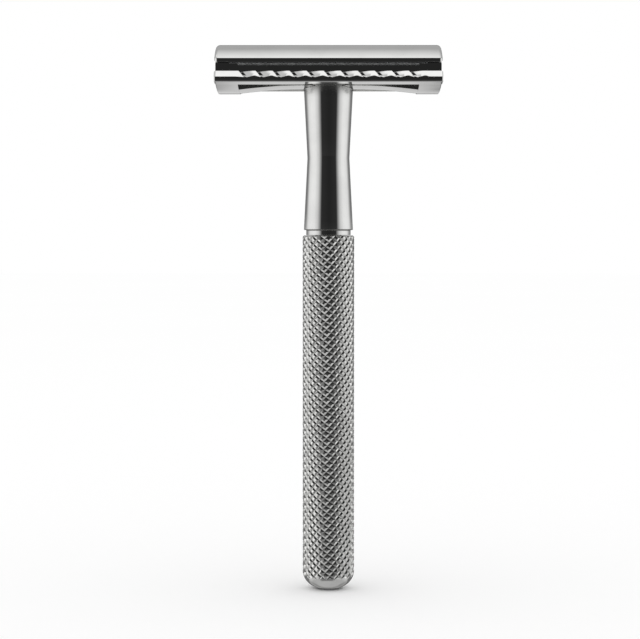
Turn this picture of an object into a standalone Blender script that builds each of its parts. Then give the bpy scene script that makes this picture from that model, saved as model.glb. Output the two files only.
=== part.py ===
"""Three-piece double-edge safety razor, standing upright on the end of its grip.

Metres, +Z up. The origin is the middle of the grip's flat end. X runs along the head,
and Y runs across it from one cutting edge to the other.
"""

import math

import bmesh
import bpy

# Grip: a knurled rod with a domed end
GRIP_DIAMETER = 0.0100  # over the knurl's points
GRIP_LENGTH = 0.06875
GRIP_DOME_HEIGHT = 0.0036
GRIP_END_FLAT_DIAMETER = 0.0024
GRIP_TOP_CHAMFER = 0.0003
KNURL_DEPTH = 0.00035
KNURL_RIGHT_STARTS = 21  # grooves that climb to the right
KNURL_RIGHT_PITCH = 0.00161  # measured along the axis
KNURL_LEFT_STARTS = 18
KNURL_LEFT_PITCH = 0.00131
KNURL_MARGIN = 0.00005  # the turned blank stands this far outside the points

# Neck: two polished cones that meet at a waist, over a turned groove
NECK_DIAMETER = 0.0095
NECK_WAIST_DIAMETER = 0.0081
NECK_WAIST_HEIGHT = 0.0139  # above the neck's lower edge
NECK_LENGTH = 0.02775
NECK_TOP_LAND = 0.0010
NECK_EDGE_CHAMFER = 0.00015
GROOVE_DIAMETER = 0.0086
GROOVE_HEIGHT = 0.0010

# Thread pieces
STUD_DIAMETER = 0.0050
STUD_CHAMFER = 0.0004
STUD_ENGAGEMENT = 0.0064  # how far the cap's stud reaches into the neck's bush
BUSH_DIAMETER = 0.0066
BUSH_LENGTH = 0.0090
BUSH_INSET = 0.00035  # below the handle's seat
JOINING_STUD_LENGTH = 0.0180

# Blade: the standard double-edge size, bent across its width
BLADE_LENGTH = 0.0428
BLADE_WIDTH = 0.0220
BLADE_THICKNESS = 0.0001
BLADE_TAB_LENGTH = 0.0027
BLADE_TAB_WIDTH = 0.0140
BLADE_ARC_RADIUS = 0.0200
BLADE_CROWN_HEIGHT = 0.0066  # middle of the bent blade above the handle's seat
SLOT_HALF_WIDTH = 0.0008
SLOT_EYE_DIAMETER = 0.0062
SLOT_TOOTH_HALF_WIDTH = 0.0021
SLOT_TEETH = 2  # on each side of the eye
SLOT_PIN_HALF_WIDTH = 0.0019
SLOT_PIN_HALF_LENGTH = 0.0024

# Cap
CAP_OVERHANG = 0.0001  # past each end of the blade
BLADE_REVEAL = 0.0001  # bent blade's edge past the cap's lip
CAP_THICKNESS = 0.00118  # in the middle, above the blade
CAP_LIP = 0.0007
CAP_LIP_ROUND = 0.00015
CAP_END_FILLET = 0.0007
PIN_DIAMETER = 0.0028
PIN_SPACING = 0.0230
PIN_DEPTH = 0.0040  # below the blade's middle
PIN_CHAMFER = 0.0003
STUD_SOCKET_DEPTH = 0.0009
PIN_SOCKET_DEPTH = 0.0008

# Base plate, with heights measured from the handle's seat
LAND_END_INSET = 0.0005  # from the cap's end
LAND_SIDE_INSET = 0.00235  # from the cap's lip
LAND_SHOULDER_INSET = 0.0003  # from the cap's lip, over the lugs
CHANNEL_FLOOR = 0.0009
RIB_WIDTH = 0.0080
RIB_ROOT = 0.0002
RIB_DRAFT = 0.04  # run of the rib's wall, as a share of its height
RIB_DROP = 0.0001  # underside of the rib beside the handle
RIB_END_DROP = 0.0009  # underside of the rib where it meets a lug
LUG_DROP = 0.0014  # keel of a lug's rounded underside
LUG_LENGTH = 0.0044
LUG_END_ROUND = 0.0002
LUG_OVERLAP = 0.0010  # how far a lug or bridge runs into the bar
BRIDGE_LENGTH = 0.0060
BRIDGE_TOP = 0.0006

# Safety bars
GUARD_REACH = 0.00165  # bar's nose past the cap's lip
BAR_TOP = 0.00215
BAR_BEVEL = 0.0012
BAR_DEPTH = 0.0026
BAR_BACK_HEIGHT = 0.0006  # where the bar's upright back turns in to its crest
BAR_CREST_WIDTH = 0.0004
BAR_CREST_FALL = 0.00013
BAR_FOOT_DROP = 0.0003
BAR_NOSE_FOOT = 0.0002
BAR_NOSE_ROUND = 0.0002
BAR_END_ROUND = 0.0004
NOTCH_COUNT = 11
NOTCH_PITCH = 0.0032
NOTCH_OFFSET = -0.0004  # of the row's middle from the bar's middle
NOTCH_DEPTH = 0.00045
NOTCH_LEAN = 0.0010  # sideways run of a notch from the bar's top to its nose
NOTCH_WALL = 0.10  # share of a pitch that the steep wall takes
NOTCH_END = 0.64  # share of a pitch where the scoop has run out

# Clearances
SEAT_GAP = 0.00005
PIN_CLEARANCE = 0.0001
STUD_CLEARANCE = 0.0002
THREAD_CLEARANCE = 0.0001
SEAT_CLEARANCE = 0.00015

# Facets
HANDLE_SIDES = 48
STUD_SIDES = 32
PIN_SIDES = 20
ARC_STEPS = 8
SPINE_STEPS = 6
FILLET_STEPS = 4
NOSE_STEPS = 2
SHOULDER_STEPS = 3
KEEL_STEPS = 3
EYE_STEPS = 6
DOME_STEPS = 8
SMOOTH_ANGLE = math.radians(32)
CUT_MARGIN = 0.0010  # how far a cutter runs past the face it opens
MERGE = 0.000001

# Finishes: colour and roughness of each metal
FINISHES = {
    "chrome": ((0.78, 0.78, 0.77), 0.08),
    "knurled chrome": ((0.70, 0.70, 0.69), 0.25),
    "blade steel": ((0.62, 0.63, 0.64), 0.22),
    "stud steel": ((0.58, 0.58, 0.57), 0.30),
    "brass": ((0.78, 0.57, 0.24), 0.30),
}

# Sizes that follow from the ones above
BLADE_CHORD = 2 * BLADE_ARC_RADIUS * math.sin(BLADE_WIDTH / 2 / BLADE_ARC_RADIUS)
CAP_LENGTH = BLADE_LENGTH + 2 * CAP_OVERHANG
CAP_WIDTH = BLADE_CHORD - 2 * BLADE_REVEAL
BAR_LENGTH = CAP_LENGTH
BAR_SPAN = CAP_WIDTH + 2 * GUARD_REACH
LAND_LENGTH = CAP_LENGTH - 2 * LAND_END_INSET
LAND_WIDTH = CAP_WIDTH - 2 * LAND_SIDE_INSET
NECK_EDGE = GRIP_LENGTH + GROOVE_HEIGHT
SEAT_HEIGHT = NECK_EDGE + NECK_LENGTH
ARC_CENTRE = BLADE_CROWN_HEIGHT - BLADE_ARC_RADIUS
CAP_UNDER_RADIUS = BLADE_ARC_RADIUS + BLADE_THICKNESS / 2 + SEAT_GAP
LAND_RADIUS = BLADE_ARC_RADIUS - BLADE_THICKNESS / 2 - SEAT_GAP
BUSH_TOP = SEAT_HEIGHT - BUSH_INSET


def material(name, finish):
    colour, roughness = FINISHES[finish]
    made = bpy.data.materials.new(name)
    made.use_nodes = True
    shader = made.node_tree.nodes["Principled BSDF"]
    shader.inputs["Base Color"].default_value = (*colour, 1.0)
    shader.inputs["Roughness"].default_value = roughness
    shader.inputs["Metallic"].default_value = 1.0
    return made


def empty(name, height=0.0, parent=None):
    """A joint's frame: its pieces turn or slide on this object's Z axis."""
    made = bpy.data.objects.new(name, None)
    made.location.z = height
    made.parent = parent
    bpy.context.scene.collection.objects.link(made)
    return made


def add(name, mesh, parent, finish=None):
    """Links a mesh as a piece, or as a hidden helper if it has no finish."""
    made = bpy.data.objects.new(name, mesh)
    made.parent = parent
    bpy.context.scene.collection.objects.link(made)
    if finish:
        mesh.materials.append(material(f"{name} {finish}", finish))
    else:
        made.hide_render = True
        made.display_type = "WIRE"
    return made


def mesh_of(name, build):
    """A mesh from a bmesh, closed and facing out, with its round stretches smooth."""
    bmesh.ops.recalc_face_normals(build, faces=build.faces)
    mesh = bpy.data.meshes.new(name)
    build.to_mesh(mesh)
    build.free()
    mesh.shade_smooth()
    mesh.set_sharp_from_angle(angle=SMOOTH_ANGLE)
    return mesh


def turned(name, profile, sides, parent, finish=None):
    """Turns (radius, height) points about Z. Outer stretches run from top to bottom."""
    build = bmesh.new()
    points = [build.verts.new((radius, 0, height)) for radius, height in profile]
    for a, b in zip(points, points[1:]):
        build.edges.new((a, b))
    mesh = bpy.data.meshes.new(name)
    build.to_mesh(mesh)
    build.free()
    made = add(name, mesh, parent, finish)
    screw = made.modifiers.new("turn", "SCREW")
    screw.steps = sides
    screw.render_steps = sides
    screw.use_merge_vertices = True
    screw.merge_threshold = MERGE
    return made


def rod(name, diameter, low, high, chamfer, sides, parent, finish=None):
    radius = diameter / 2
    profile = [(0, high), (radius - chamfer, high), (radius, high - chamfer)]
    profile += [(radius, low + chamfer), (radius - chamfer, low), (0, low)]
    return turned(name, profile, sides, parent, finish)


def loft(name, rings, parent, finish=None):
    """A closed solid through rings of points, with a flat face at each end."""
    build = bmesh.new()
    loops = [[build.verts.new(point) for point in ring] for ring in rings]
    for first, second in zip(loops, loops[1:]):
        for k in range(len(first)):
            near = (k + 1) % len(first)
            build.faces.new((first[k], first[near], second[near], second[k]))
    build.faces.new(loops[0])
    build.faces.new(loops[-1])
    return add(name, mesh_of(name, build), parent, finish)


def drill(name, diameter, low, high, sides, parent):
    """A round cutter whose flat ends have no spokes for another cutter's edges to fall on."""
    turns = [2 * math.pi * k / sides for k in range(sides)]
    ring = [(diameter / 2 * math.cos(turn), diameter / 2 * math.sin(turn)) for turn in turns]
    return loft(name, [[(x, y, z) for x, y in ring] for z in (low, high)], parent)


def combine(piece, helper, operation):
    step = piece.modifiers.new(helper.name, "BOOLEAN")
    step.operation = operation
    step.object = helper
    step.solver = "EXACT"


def mirrored(half):
    """A ring from its +Y half, listed from the top of the middle plane round to the bottom."""
    return half + [(-y, z) for y, z in reversed(half) if y > MERGE]


def arc_height(radius, y):
    """Height of an arc about the bent blade's own centre line."""
    return ARC_CENTRE + math.sqrt(radius**2 - y**2)


def quarter(steps):
    """Angles of a quarter turn."""
    return [math.pi / 2 * k / steps for k in range(steps + 1)]


def knurl_point(right, left, radius):
    """Where groove number right of one family crosses groove number left of the other."""
    right_turn = 1 / (KNURL_RIGHT_STARTS * KNURL_RIGHT_PITCH)
    left_turn = 1 / (KNURL_LEFT_STARTS * KNURL_LEFT_PITCH)
    height = (left / KNURL_LEFT_STARTS - right / KNURL_RIGHT_STARTS) / (right_turn + left_turn)
    angle = 2 * math.pi * (right / KNURL_RIGHT_STARTS + height * right_turn)
    return radius * math.cos(angle), radius * math.sin(angle), height


def knurl_field(parent):
    """A rod of four-sided points between two families of crossing helical grooves.

    It runs past both ends of the grip, which the turned blank then trims.
    """
    build = bmesh.new()
    valley = GRIP_DIAMETER / 2 - KNURL_DEPTH
    margin = 2 * max(KNURL_RIGHT_PITCH, KNURL_LEFT_PITCH)
    low, high = -margin, GRIP_LENGTH + margin
    span = KNURL_LEFT_STARTS / KNURL_RIGHT_STARTS
    rise = KNURL_LEFT_STARTS * (
        1 / (KNURL_RIGHT_STARTS * KNURL_RIGHT_PITCH) + 1 / (KNURL_LEFT_STARTS * KNURL_LEFT_PITCH)
    )
    corners = {}

    def corner(right, left):
        turns, right = divmod(right, KNURL_RIGHT_STARTS)
        key = (right, left - turns * KNURL_LEFT_STARTS)
        if key not in corners:
            corners[key] = build.verts.new(knurl_point(*key, valley))
        return corners[key]

    for right in range(KNURL_RIGHT_STARTS):
        first = math.ceil(right * span + low * rise)
        last = math.floor(right * span + high * rise)
        for left in range(first, last):
            ring = [corner(right, left), corner(right + 1, left)]
            ring += [corner(right + 1, left + 1), corner(right, left + 1)]
            tip = build.verts.new(knurl_point(right + 0.5, left + 0.5, GRIP_DIAMETER / 2))
            for k in range(len(ring)):
                build.faces.new((ring[k], ring[(k + 1) % len(ring)], tip))
    rims = [edge for edge in build.edges if edge.is_boundary]
    for height in (low, high):
        middle = build.verts.new((0, 0, height))
        for edge in rims:
            if (edge.verts[0].co.z > GRIP_LENGTH / 2) == (height == high):
                build.faces.new((*edge.verts, middle))
    return add("knurl_field", mesh_of("knurl_field", build), parent)


def make_grip(parent, finish):
    trim = GRIP_DIAMETER / 2 + KNURL_MARGIN
    flat = GRIP_END_FLAT_DIAMETER / 2
    profile = [(0, GRIP_LENGTH), (trim - GRIP_TOP_CHAMFER, GRIP_LENGTH)]
    profile.append((trim, GRIP_LENGTH - GRIP_TOP_CHAMFER))
    for angle in quarter(DOME_STEPS):
        reach = flat + (trim - flat) * math.cos(angle)
        profile.append((reach, GRIP_DOME_HEIGHT * (1 - math.sin(angle))))
    profile.append((0, 0))
    grip = turned("grip", profile, HANDLE_SIDES, parent, finish)
    combine(grip, knurl_field(parent), "INTERSECT")
    depth = JOINING_STUD_LENGTH / 2 + SEAT_GAP
    bore = STUD_DIAMETER + 2 * THREAD_CLEARANCE
    hole = drill("grip_hole", bore, GRIP_LENGTH - depth, GRIP_LENGTH + CUT_MARGIN, STUD_SIDES, parent)
    combine(grip, hole, "DIFFERENCE")


def make_neck(parent, finish):
    """The waisted neck, bored from above for the bush and from below for the joining stud."""
    radius = NECK_DIAMETER / 2
    chamfer = NECK_EDGE_CHAMFER
    bush_bore = BUSH_DIAMETER / 2 + SEAT_GAP
    bush_floor = BUSH_TOP - BUSH_LENGTH - SEAT_GAP
    stud_bore = STUD_DIAMETER / 2 + THREAD_CLEARANCE
    foot = GRIP_LENGTH + SEAT_GAP
    profile = [(0, bush_floor), (bush_bore, bush_floor), (bush_bore, SEAT_HEIGHT)]
    profile += [(radius - chamfer, SEAT_HEIGHT), (radius, SEAT_HEIGHT - chamfer)]
    profile += [(radius, SEAT_HEIGHT - NECK_TOP_LAND)]
    profile += [(NECK_WAIST_DIAMETER / 2, NECK_EDGE + NECK_WAIST_HEIGHT)]
    profile += [(radius, NECK_EDGE + chamfer), (radius - chamfer, NECK_EDGE)]
    profile += [(GROOVE_DIAMETER / 2, NECK_EDGE), (GROOVE_DIAMETER / 2, foot)]
    stud_top = GRIP_LENGTH + JOINING_STUD_LENGTH / 2 + SEAT_GAP
    profile += [(stud_bore, foot), (stud_bore, stud_top), (0, stud_top)]
    turned("neck", profile, HANDLE_SIDES, parent, finish)


def make_neck_bush(parent, finish):
    outer = BUSH_DIAMETER / 2
    inner = STUD_DIAMETER / 2 + THREAD_CLEARANCE
    low = BUSH_TOP - BUSH_LENGTH
    profile = [(inner, BUSH_TOP), (outer, BUSH_TOP), (outer, low), (inner, low), (inner, BUSH_TOP)]
    turned("neck_bush", profile, STUD_SIDES, parent, finish)


def make_joining_stud(parent, finish):
    half = JOINING_STUD_LENGTH / 2
    low, high = GRIP_LENGTH - half, GRIP_LENGTH + half
    rod("joining_stud", STUD_DIAMETER, low, high, STUD_CHAMFER, STUD_SIDES, parent, finish)


def spine_bottom(x):
    """Underside of the plate's spine: level round the handle, then arching down to the lugs."""
    level = NECK_DIAMETER / 2
    lug = BAR_LENGTH / 2 - LUG_LENGTH
    reach = max(0.0, abs(x) - level) / (lug - level)
    return -RIB_DROP - (RIB_END_DROP - RIB_DROP) * min(1.0, reach) ** 2


def make_spine(parent, finish):
    """The blade's bed: a convex land over an arched rib, with ends that sit inside the lugs."""
    half_land = LAND_WIDTH / 2
    lug = BAR_LENGTH / 2 - LUG_LENGTH
    end = LAND_LENGTH / 2
    tuck = lug + LUG_OVERLAP
    steps = range(-SPINE_STEPS, SPINE_STEPS + 1)
    places = [-end, -tuck] + [lug * k / SPINE_STEPS for k in steps] + [tuck, end]
    bed = [half_land * k / ARC_STEPS for k in range(ARC_STEPS + 1)]
    rings = []
    for x in places:
        bottom = -RIB_DROP if abs(x) > lug else spine_bottom(x)
        half = [(y, arc_height(LAND_RADIUS, y)) for y in bed]
        half += [(half_land, CHANNEL_FLOOR), (RIB_WIDTH / 2, RIB_ROOT)]
        half.append((RIB_WIDTH / 2 - RIB_DRAFT * (RIB_ROOT - bottom), bottom))
        rings.append([(x, y, z) for y, z in mirrored(half)])
    return loft("base_plate", rings, parent, finish)


def make_lug(side, parent):
    """A solid end of the plate: it carries both bars, and the bed widens into shoulders over it."""
    inner = BAR_LENGTH / 2 - LUG_LENGTH
    outer = BAR_LENGTH / 2 - BAR_END_ROUND / 2
    edge = BAR_SPAN / 2 - LUG_OVERLAP
    shoulder = CAP_WIDTH / 2 - LAND_SHOULDER_INSET
    tuck = LAND_WIDTH / 2 - LUG_OVERLAP
    bed = [tuck + (shoulder - tuck) * k / SHOULDER_STEPS for k in range(SHOULDER_STEPS + 1)]
    stations = [(inner, 0.0)]
    for angle in quarter(NOSE_STEPS):
        x = outer - LUG_END_ROUND * (1 - math.sin(angle))
        stations.append((x, LUG_END_ROUND * (1 - math.cos(angle))))
    rings = []
    for x, lift in stations:
        arc = [(y, arc_height(LAND_RADIUS - SEAT_GAP, y) - lift) for y in bed]
        half = [(0, arc[0][1])] + arc
        half += [(shoulder, CHANNEL_FLOOR), (edge, CHANNEL_FLOOR)]
        foot = BAR_NOSE_FOOT + SEAT_GAP
        for k in reversed(range(KEEL_STEPS + 1)):
            share = k / KEEL_STEPS
            half.append((edge * share, foot * share**2 - (LUG_DROP - lift) * (1 - share**2)))
        rings.append([(side * x, y, z) for y, z in mirrored(half)])
    name = "lug_right" if side > 0 else "lug_left"
    return loft(name, rings, parent)


def make_bridge(parent):
    """The short web that ties the bars to the spine between the lather slots."""
    reach = BAR_SPAN / 2 - BAR_DEPTH + LUG_OVERLAP
    end = BRIDGE_LENGTH / 2
    section = [(reach, BRIDGE_TOP), (reach, 0), (-reach, 0), (-reach, BRIDGE_TOP)]
    return loft("bridge", [[(x, y, z) for y, z in section] for x in (-end, end)], parent)


def notch_depth(phase):
    """Depth of a notch over one pitch: a steep left wall, then a long scoop, then the ridge."""
    if phase < NOTCH_WALL:
        return NOTCH_DEPTH * phase / NOTCH_WALL
    return NOTCH_DEPTH * max(0.0, (NOTCH_END - phase) / (NOTCH_END - NOTCH_WALL))


def bar_ring(x, phase, scale, lean):
    """One station of a bar, as (x, distance out from the middle, height) points."""
    nose = BAR_SPAN / 2
    foot = nose - BAR_DEPTH
    crest = nose - BAR_BEVEL
    brow = BAR_TOP - BAR_BEVEL
    depth = notch_depth(phase) / math.sqrt(2)
    ring = [(x, foot, -BAR_FOOT_DROP), (x, foot, BAR_BACK_HEIGHT)]
    ring.append((x - lean / 2, crest - BAR_CREST_WIDTH, BAR_TOP - BAR_CREST_FALL - depth))
    for down, share in ((0, 1), (1 / 3, 1), (2 / 3, 0.7), (1, 0)):
        out = crest + BAR_BEVEL * down - depth * share
        height = BAR_TOP - BAR_BEVEL * down - depth * share
        ring.append((x + lean * (down - 0.5), out, height))
    half_face = (brow - BAR_NOSE_FOOT) / 2
    for angle in quarter(NOSE_STEPS):
        out = nose - BAR_NOSE_ROUND * (1 - math.cos(angle))
        ring.append((x, out, brow - half_face * (1 + math.sin(angle))))
    centre = (nose - BAR_DEPTH / 2, BAR_TOP / 2)
    return [
        (px, centre[0] + (out - centre[0]) * scale, centre[1] + (height - centre[1]) * scale)
        for px, out, height in ring
    ]


def make_bar(side, parent):
    """A safety bar with leaning notches. The far bar is the near one turned half round."""
    ends = []
    for angle in quarter(NOSE_STEPS):
        x = BAR_LENGTH / 2 - BAR_END_ROUND * (1 - math.sin(angle))
        ends.append((x, 1 - BAR_END_ROUND / BAR_DEPTH * (1 - math.cos(angle))))
    stations = [(-x, 0, scale, 0) for x, scale in reversed(ends)]
    first = NOTCH_OFFSET - NOTCH_PITCH * (NOTCH_COUNT - 1) / 2
    for notch in range(NOTCH_COUNT):
        for phase in (0, NOTCH_WALL, (NOTCH_WALL + NOTCH_END) / 2, NOTCH_END):
            stations.append((first + NOTCH_PITCH * (notch + phase), phase, 1, NOTCH_LEAN))
    stations += [(x, 0, scale, 0) for x, scale in ends]
    rings = []
    for station in stations:
        rings.append([(-side * x, side * out, z) for x, out, z in bar_ring(*station)])
    return loft("bar_far" if side > 0 else "bar_near", rings, parent)


def make_base_plate(parent, finish):
    plate = make_spine(parent, finish)
    helpers = [make_lug(-1, parent), make_lug(1, parent), make_bridge(parent)]
    helpers += [make_bar(-1, parent), make_bar(1, parent)]
    for helper in helpers:
        combine(plate, helper, "UNION")
    low = -LUG_DROP - CUT_MARGIN
    high = BLADE_CROWN_HEIGHT + CUT_MARGIN
    seat = NECK_DIAMETER + 2 * SEAT_CLEARANCE
    combine(plate, drill("seat_cut", seat, low, SEAT_GAP, HANDLE_SIDES, parent), "DIFFERENCE")
    stud = STUD_DIAMETER + 2 * STUD_CLEARANCE
    combine(plate, drill("stud_cut", stud, low, high, STUD_SIDES, parent), "DIFFERENCE")
    pin = PIN_DIAMETER + 2 * PIN_CLEARANCE
    floor = BLADE_CROWN_HEIGHT - PIN_DEPTH - SEAT_GAP
    for name, x in (("pin_cut_left", -PIN_SPACING / 2), ("pin_cut_right", PIN_SPACING / 2)):
        hole = drill(name, pin, floor, high, PIN_SIDES, parent)
        hole.location.x = x
        combine(plate, hole, "DIFFERENCE")


def slot_outline():
    """The blade's cut-out: a round eye, toothed windows and pin windows on one long slot."""
    eye = SLOT_EYE_DIAMETER / 2
    start = math.asin(SLOT_HALF_WIDTH / eye)
    pin = PIN_SPACING / 2
    upper = []
    for k in range(EYE_STEPS + 1):
        angle = math.pi / 2 + (start - math.pi / 2) * k / EYE_STEPS
        upper.append((eye * math.cos(angle), eye * math.sin(angle)))
    teeth = (SLOT_TOOTH_HALF_WIDTH, SLOT_HALF_WIDTH) * SLOT_TEETH
    root = upper[-1][0]
    step = (pin - SLOT_PIN_HALF_LENGTH - root) / (len(teeth) + 2)
    for k, half in enumerate(teeth):
        upper.append((root + step * (k + 2), half))
    upper += [(pin - SLOT_PIN_HALF_LENGTH + SEAT_GAP, SLOT_PIN_HALF_WIDTH)]
    upper += [(pin + SLOT_PIN_HALF_LENGTH, SLOT_PIN_HALF_WIDTH)]
    upper += [(pin + SLOT_PIN_HALF_LENGTH + SLOT_HALF_WIDTH, SLOT_HALF_WIDTH)]
    right = upper + [(x, -y) for x, y in reversed(upper)]
    left = [(-x, -y) for x, y in upper[1:]] + [(-x, y) for x, y in reversed(upper[1:])]
    return right + left


def make_blade(parent, finish):
    """The blade is cut flat, creased into narrow strips and bent round the head's arc."""
    half_length, half_width = BLADE_LENGTH / 2, BLADE_WIDTH / 2
    edge, tab = half_length - BLADE_TAB_LENGTH, BLADE_TAB_WIDTH / 2
    quadrant = [(half_length, tab), (edge, tab), (edge, half_width)]
    outline = quadrant + [(-x, y) for x, y in reversed(quadrant)]
    outline += [(-x, -y) for x, y in quadrant] + [(x, -y) for x, y in reversed(quadrant)]
    half = BLADE_THICKNESS / 2
    flat = loft("blade_flat", [[(x, y, z) for x, y in outline] for z in (-half, half)], parent)
    window, reach = slot_outline(), half + CUT_MARGIN
    slot = loft("blade_slot", [[(x, y, z) for x, y in window] for z in (-reach, reach)], parent)
    combine(flat, slot, "DIFFERENCE")
    bpy.context.view_layer.update()
    graph = bpy.context.evaluated_depsgraph_get()
    build = bmesh.new()
    build.from_object(flat, graph)
    for k in range(1 - ARC_STEPS, ARC_STEPS):
        everything = build.verts[:] + build.edges[:] + build.faces[:]
        place = (0, half_width * k / ARC_STEPS, 0)
        bmesh.ops.bisect_plane(build, geom=everything, plane_co=place, plane_no=(0, 1, 0), dist=MERGE)
    for vert in build.verts:
        angle = vert.co.y / BLADE_ARC_RADIUS
        radius = BLADE_ARC_RADIUS + vert.co.z
        vert.co.y = radius * math.sin(angle)
        vert.co.z = ARC_CENTRE + radius * math.cos(angle)
    add("razor_blade", mesh_of("razor_blade", build), parent, finish)


def cap_half_section(inset, keep):
    """The cap's +Y half: its crowned top thinned to a share, and its underside on the blade."""
    width = CAP_WIDTH / 2
    lip_top = arc_height(CAP_UNDER_RADIUS, width) + CAP_LIP
    crown = arc_height(CAP_UNDER_RADIUS, 0) + CAP_THICKNESS
    rise = crown - lip_top
    crown_radius = (width**2 + rise**2) / (2 * rise)
    crown_centre = crown - crown_radius

    def under(y):
        return arc_height(CAP_UNDER_RADIUS, y)

    def over(y):
        full = crown_centre + math.sqrt(crown_radius**2 - y**2)
        return under(y) + keep * (full - under(y))

    edge = width - inset
    corner = edge - CAP_LIP_ROUND
    steps = [corner * k / ARC_STEPS for k in range(ARC_STEPS + 1)]
    half = [(y, over(y)) for y in steps]
    half += [(edge, over(edge) - CAP_LIP_ROUND), (edge, under(edge) + CAP_LIP_ROUND)]
    return half + [(y, under(y)) for y in reversed(steps)]


def make_cap(parent, finish):
    end = CAP_LENGTH / 2
    stations = []
    for angle in quarter(FILLET_STEPS):
        inset = CAP_END_FILLET * (1 - math.cos(angle))
        stations.append((end - CAP_END_FILLET * (1 - math.sin(angle)), inset))
    stations = [(-x, inset) for x, inset in reversed(stations)] + stations
    rings = []
    for x, inset in stations:
        half = cap_half_section(inset, 1 - inset / CAP_THICKNESS)
        rings.append([(x, y, z) for y, z in mirrored(half)])
    cap = loft("top_cap", rings, parent, finish)
    low = arc_height(CAP_UNDER_RADIUS, 0)
    stud = STUD_DIAMETER + 2 * SEAT_GAP
    hole = drill("stud_socket", stud, low - CUT_MARGIN, low + STUD_SOCKET_DEPTH, STUD_SIDES, parent)
    combine(cap, hole, "DIFFERENCE")
    pin = PIN_DIAMETER + 2 * SEAT_GAP
    for name, x in (("pin_socket_left", -PIN_SPACING / 2), ("pin_socket_right", PIN_SPACING / 2)):
        hole = drill(name, pin, low - CUT_MARGIN, low + PIN_SOCKET_DEPTH, PIN_SIDES, parent)
        hole.location.x = x
        combine(cap, hole, "DIFFERENCE")


def make_cap_fittings(parent, finish):
    """The stud and the two alignment pins, which stand in sockets under the cap."""
    roof = arc_height(CAP_UNDER_RADIUS, 0)
    top = roof + STUD_SOCKET_DEPTH - SEAT_GAP
    rod("cap_stud", STUD_DIAMETER, -STUD_ENGAGEMENT, top, STUD_CHAMFER, STUD_SIDES, parent, finish)
    low = BLADE_CROWN_HEIGHT - PIN_DEPTH
    top = roof + PIN_SOCKET_DEPTH - SEAT_GAP
    for name, x in (("alignment_pin_left", -PIN_SPACING / 2), ("alignment_pin_right", PIN_SPACING / 2)):
        pin = rod(name, PIN_DIAMETER, low, top, PIN_CHAMFER, PIN_SIDES, parent, finish)
        pin.location.x = x


def main():
    for old in list(bpy.data.objects):
        bpy.data.objects.remove(old)
    handle = empty("handle_axis")
    make_grip(handle, "knurled chrome")
    make_neck(handle, "chrome")
    make_neck_bush(handle, "brass")
    make_joining_stud(handle, "stud steel")

    head = empty("head_turn_axis", SEAT_HEIGHT, handle)
    make_base_plate(head, "chrome")
    make_blade(empty("blade_lift_axis", 0, head), "blade steel")
    cap = empty("cap_lift_axis", 0, head)
    make_cap(cap, "chrome")
    make_cap_fittings(cap, "stud steel")


main()
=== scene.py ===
"""Looks of the double-edge safety razor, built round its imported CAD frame.

Metres, +Z up, as in the CAD. The razor stands on the end of its grip with one cutting edge
towards the camera, which looks along +Y.
"""

import math

import bmesh
import bpy
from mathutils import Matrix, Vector


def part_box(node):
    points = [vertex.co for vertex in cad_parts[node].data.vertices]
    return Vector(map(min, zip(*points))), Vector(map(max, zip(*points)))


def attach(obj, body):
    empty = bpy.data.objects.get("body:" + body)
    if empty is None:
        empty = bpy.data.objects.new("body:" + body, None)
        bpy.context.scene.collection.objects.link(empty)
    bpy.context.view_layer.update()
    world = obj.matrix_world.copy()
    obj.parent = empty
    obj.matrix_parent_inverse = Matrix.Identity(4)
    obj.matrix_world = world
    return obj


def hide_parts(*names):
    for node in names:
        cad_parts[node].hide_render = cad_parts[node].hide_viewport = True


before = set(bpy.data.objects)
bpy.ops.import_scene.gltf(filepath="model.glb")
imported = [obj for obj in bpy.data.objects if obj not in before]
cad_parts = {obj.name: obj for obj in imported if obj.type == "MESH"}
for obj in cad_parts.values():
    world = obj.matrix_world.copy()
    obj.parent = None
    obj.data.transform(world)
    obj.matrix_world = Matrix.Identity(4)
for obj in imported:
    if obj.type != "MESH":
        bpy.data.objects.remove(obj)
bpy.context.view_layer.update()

MM = 0.001
MICRON = 0.000001
MERGE = 1 * MICRON

# Sizes taken from the CAD nodes
GRIP_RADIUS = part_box("grip")[1].x
GRIP_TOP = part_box("grip")[1].z
NECK_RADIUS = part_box("neck")[1].x
NECK_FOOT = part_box("neck")[0].z
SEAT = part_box("neck")[1].z
CAP_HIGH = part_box("top_cap")[1]
PLATE_LOW, PLATE_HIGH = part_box("base_plate")
BLADE_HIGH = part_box("razor_blade")[1]
STUD_LOW, STUD_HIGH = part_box("cap_stud")
PIN_LOW, PIN_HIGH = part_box("alignment_pin_right")
PIN_RADIUS = (PIN_HIGH.x - PIN_LOW.x) / 2
PIN_PLACE = (PIN_HIGH.x + PIN_LOW.x) / 2

# Grip: flat-topped diamonds between two families of V grooves
DOME_HEIGHT = 3.6 * MM
DOME_FLAT = 1.2 * MM
GRIP_EDGE = 0.3 * MM
GRIP_SPARE = 40 * MICRON  # how far the turned blank stands proud of the diamonds
FOOT_SHADE_RING = 0.25 * MM  # height of the ring of painted shade round the flat
FOOT_SHADE_FADE = 2.2 * FOOT_SHADE_RING
KNURL_DEPTH = 0.19 * MM
KNURL_RIGHT_STARTS = 21  # grooves that climb to the right
KNURL_RIGHT_PITCH = 1.61 * MM  # measured along the axis
KNURL_LEFT_STARTS = 18
KNURL_LEFT_PITCH = 1.31 * MM
GROOVE_SHARE = 0.31  # half a groove's width, as a share of a diamond
KNURL_MARKS = (0.0, GROOVE_SHARE, 0.5, 1 - GROOVE_SHARE)

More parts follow.
